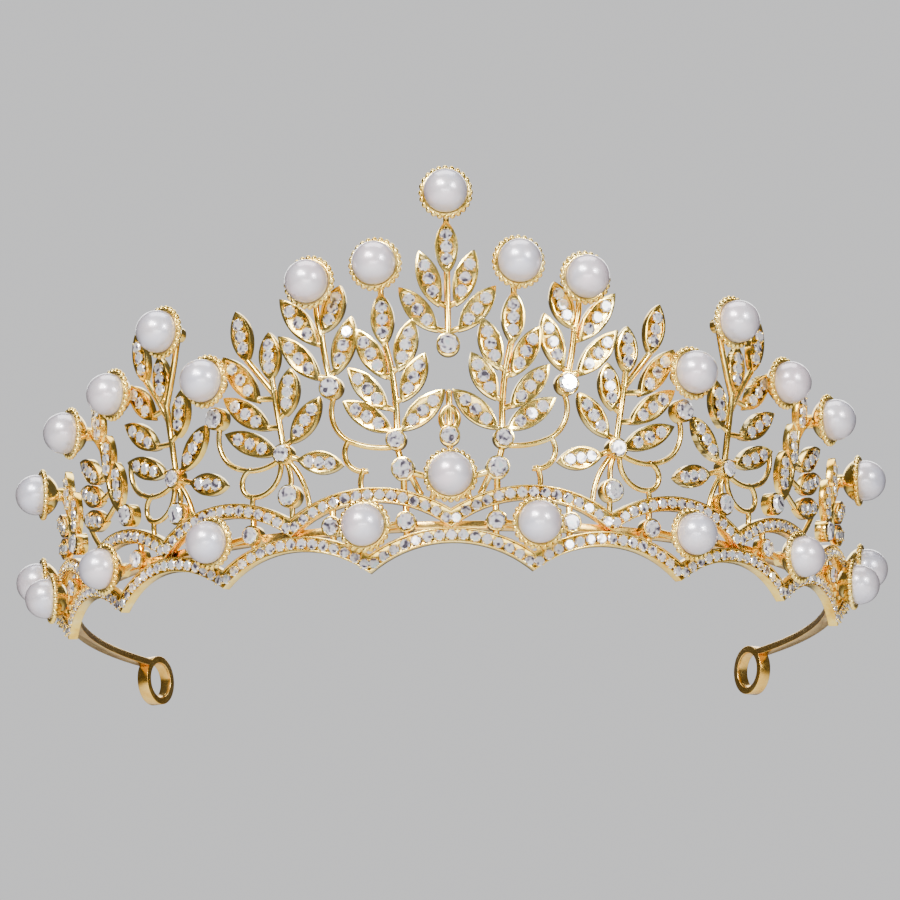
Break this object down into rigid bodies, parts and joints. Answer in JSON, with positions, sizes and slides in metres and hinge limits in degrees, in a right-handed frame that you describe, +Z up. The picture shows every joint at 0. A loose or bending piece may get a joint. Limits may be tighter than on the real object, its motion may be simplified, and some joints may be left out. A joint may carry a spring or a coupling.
{
  "type": "bridal tiara",
  "caption": "Curved openwork tiara: leaf sprays and scrolls set with round stones, pearls in cups, scalloped stone-set borders, and a flat wire hoop ending in ribbon loops.",
  "frame": {"origin": "centre of the bottom of the bounding box, midway between the ribbon loops and the front pearls", "axes": "+X to the wearer's left, along the width; +Y to the back of the head; +Z up"},
  "size_m": [0.1652, 0.1526, 0.0703],
  "materials": {
    "gold_casting": "bright gold plating on cast openwork",
    "gold_wire": "polished gold plating on flat wire",
    "pearl": "white pearl lustre",
    "crystal": "clear faceted stone with a silvered back"
  },
  "bodies": {
    "root": {"band_pearl_cups": "gold_casting", "band_pearl_left_1": "pearl", "band_pearl_left_2": "pearl", "band_pearl_left_3": "pearl", "band_pearl_left_4": "pearl", "band_pearl_right_1": "pearl", "band_pearl_right_2": "pearl", "band_pearl_right_3": "pearl", "band_pearl_right_4": "pearl", "centre_frame": "gold_casting", "centre_leaf_stones": "crystal", "centre_pearl": "pearl", "centre_single_stones": "crystal", "centre_spray": "gold_casting", "crown_pearl_centre": "pearl", "crown_pearl_cups": "gold_casting", "crown_pearl_left_1": "pearl", "crown_pearl_left_2": "pearl", "crown_pearl_left_3": "pearl", "crown_pearl_left_4": "pearl", "crown_pearl_left_5": "pearl", "crown_pearl_left_6": "pearl", "crown_pearl_left_7": "pearl", "crown_pearl_left_8": "pearl", "crown_pearl_right_1": "pearl", "crown_pearl_right_2": "pearl", "crown_pearl_right_3": "pearl", "crown_pearl_right_4": "pearl", "crown_pearl_right_5": "pearl", "crown_pearl_right_6": "pearl", "crown_pearl_right_7": "pearl", "crown_pearl_right_8": "pearl", "eye_frames": "gold_casting", "hoop_front": "gold_wire", "left_hoop_arm": "gold_wire", "left_leaf_stones": "crystal", "left_ribbon_loop": "gold_wire", "left_scrollwork": "gold_casting", "left_single_stones": "crystal", "left_spray_1": "gold_casting", "left_spray_2": "gold_casting", "left_spray_3": "gold_casting", "left_spray_4": "gold_casting", "left_spray_5": "gold_casting", "left_spray_6": "gold_casting", "lower_border": "gold_casting", "lower_border_stones": "crystal", "right_hoop_arm": "gold_wire", "right_leaf_stones": "crystal", "right_ribbon_loop": "gold_wire", "right_scrollwork": "gold_casting", "right_single_stones": "crystal", "right_spray_1": "gold_casting", "right_spray_2": "gold_casting", "right_spray_3": "gold_casting", "right_spray_4": "gold_casting", "right_spray_5": "gold_casting", "right_spray_6": "gold_casting", "upper_border": "gold_casting", "upper_border_stones": "crystal"}
  },
  "joints": []
}
